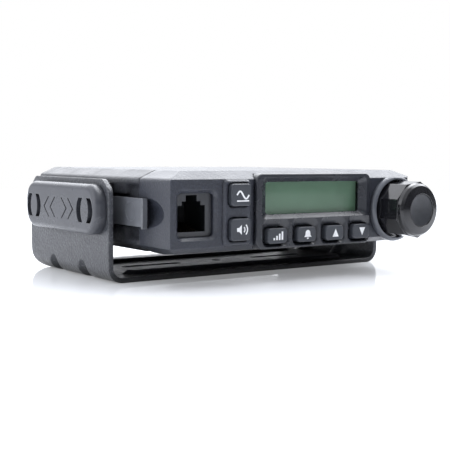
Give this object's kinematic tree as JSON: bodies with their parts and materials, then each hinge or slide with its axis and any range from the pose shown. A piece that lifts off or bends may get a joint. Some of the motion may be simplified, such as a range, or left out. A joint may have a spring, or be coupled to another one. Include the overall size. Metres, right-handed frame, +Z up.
{
  "type": "mobile transceiver",
  "caption": "Slim mobile radio transceiver with display, keys, volume knob and microphone socket, held on guide rails in a quick-release U bracket.",
  "frame": {"origin": "middle of the bracket's centre hole, on the underside of its base", "axes": "+X to the right and +Z up for someone facing the front panel, +Y towards the rear sockets"},
  "size_m": [0.125, 0.1159, 0.0356],
  "materials": {
    "bracket_paint": "fine speckled satin powder coat",
    "cover_plastic": "satin moulded",
    "rail_plastic": "smooth low-friction moulding",
    "latch_steel": "black coated spring steel",
    "plain_steel": "bright turned",
    "black_screws": "black oxide",
    "zinc_screws": "zinc plated",
    "case_paint": "satin fine-textured paint",
    "panel_plastic": "satin fine-textured moulding",
    "black_anodised": "black anodised casting",
    "frame_plastic": "satin",
    "key_plastic": "matte with pale printed symbols",
    "lens_clear": "clear flat window",
    "lcd_glass": "grey-green reflective layer",
    "light_guide": "milky white",
    "board_green": "solder-masked glass laminate",
    "part_black": "moulded",
    "socket_plastic": "moulded",
    "gold_plate": "gold flashed",
    "pot_metal": "pressed and plated",
    "knob_gloss": "polished black",
    "knob_cap_satin": "spun satin dish",
    "tinned_steel": "bright tin plate",
    "capacitor_sleeve": "shrunk sleeve",
    "ferrite": "sintered, enamelled wire wound",
    "cone_paper": "pressed paper",
    "nickel": "nickel plated",
    "white_insulator": "waxy white"
  },
  "bodies": {
    "bracket": {"mounting_bracket": "bracket_paint", "guide_rail_left": "rail_plastic", "guide_rail_right": "rail_plastic", "rail_cover_left": "cover_plastic", "rail_cover_right": "cover_plastic", "rail_screws": "black_screws", "latch_pins": "plain_steel"},
    "latch_left": {"latch_lever_left": "latch_steel"},
    "latch_right": {"latch_lever_right": "latch_steel"},
    "radio": {"rear_case": "case_paint", "bottom_cover": "case_paint", "bottom_cover_screws": "black_screws", "front_panel": "panel_plastic", "front_panel_screws": "black_screws", "heat_sink": "black_anodised", "heat_sink_screws": "black_screws", "knob_collar": "frame_plastic", "display_frame": "frame_plastic", "display_lens": "lens_clear", "lcd_module": "lcd_glass", "backlight_guide": "light_guide", "front_board": "board_green", "front_board_screws": "zinc_screws", "tact_switches": "part_black", "mic_socket": "socket_plastic", "mic_contacts": "gold_plate", "mic_board": "board_green", "volume_pot": "pot_metal", "pot_nut": "zinc_screws", "main_board": "board_green", "main_board_screws": "zinc_screws", "board_header": "part_black", "shield_can": "tinned_steel", "tuning_coils": "tinned_steel", "control_chips": "part_black", "crystals": "tinned_steel", "capacitors": "capacitor_sleeve", "filter_coils": "ferrite", "antenna_relay": "part_black", "power_transistors": "part_black", "speaker_frame": "tinned_steel", "speaker_cone": "cone_paper", "speaker_magnet": "ferrite", "antenna_socket": "nickel", "antenna_nut": "nickel", "antenna_insulator": "white_insulator", "antenna_contact": "gold_plate", "power_socket": "socket_plastic", "power_pins": "gold_plate", "sound_socket": "socket_plastic", "sound_socket_nut": "nickel"},
    "volume": {"volume_knob": "knob_gloss", "knob_cap": "knob_cap_satin", "pot_shaft": "plain_steel"},
    "mode_key": {"mode_key": "key_plastic"},
    "squelch_key": {"squelch_key": "key_plastic"},
    "gain_key": {"gain_key": "key_plastic"},
    "alert_key": {"alert_key": "key_plastic"},
    "up_key": {"up_key": "key_plastic"},
    "down_key": {"down_key": "key_plastic"}
  },
  "joints": [
    {"name": "radio_slide", "type": "slide", "parent": "bracket", "child": "radio", "axis": [0, -1, 0], "range_m": [0, 0.068]},
    {"name": "latch_left_swing", "type": "hinge", "parent": "bracket", "child": "latch_left", "pos_m": [-0.0532, -0.0103, 0.0227], "axis": [0, 0, -1], "range_deg": [0, 8], "stiffness_Nm_per_rad": 0.33, "springref_deg": -5.73},
    {"name": "latch_right_swing", "type": "hinge", "parent": "bracket", "child": "latch_right", "pos_m": [0.0532, -0.0103, 0.0227], "axis": [0, 0, 1], "range_deg": [0, 8], "stiffness_Nm_per_rad": 0.33, "springref_deg": -5.73},
    {"name": "mode_key_press", "type": "slide", "parent": "radio", "child": "mode_key", "axis": [0, 1, 0], "range_m": [0, 0.0008], "stiffness_N_per_m": 1000, "springref_m": -0.0005},
    {"name": "squelch_key_press", "type": "slide", "parent": "radio", "child": "squelch_key", "axis": [0, 1, 0], "range_m": [0, 0.0008], "stiffness_N_per_m": 1000, "springref_m": -0.0005},
    {"name": "gain_key_press", "type": "slide", "parent": "radio", "child": "gain_key", "axis": [0, 1, 0], "range_m": [0, 0.0008], "stiffness_N_per_m": 1000, "springref_m": -0.0005},
    {"name": "alert_key_press", "type": "slide", "parent": "radio", "child": "alert_key", "axis": [0, 1, 0], "range_m": [0, 0.0008], "stiffness_N_per_m": 1000, "springref_m": -0.0005},
    {"name": "up_key_press", "type": "slide", "parent": "radio", "child": "up_key", "axis": [0, 1, 0], "range_m": [0, 0.0008], "stiffness_N_per_m": 1000, "springref_m": -0.0005},
    {"name": "down_key_press", "type": "slide", "parent": "radio", "child": "down_key", "axis": [0, 1, 0], "range_m": [0, 0.0008], "stiffness_N_per_m": 1000, "springref_m": -0.0005},
    {"name": "volume_turn", "type": "hinge", "parent": "radio", "child": "volume", "pos_m": [0.0422, -0.055, 0.0222], "axis": [0, 1, 0], "range_deg": [-150, 150]}
  ]
}
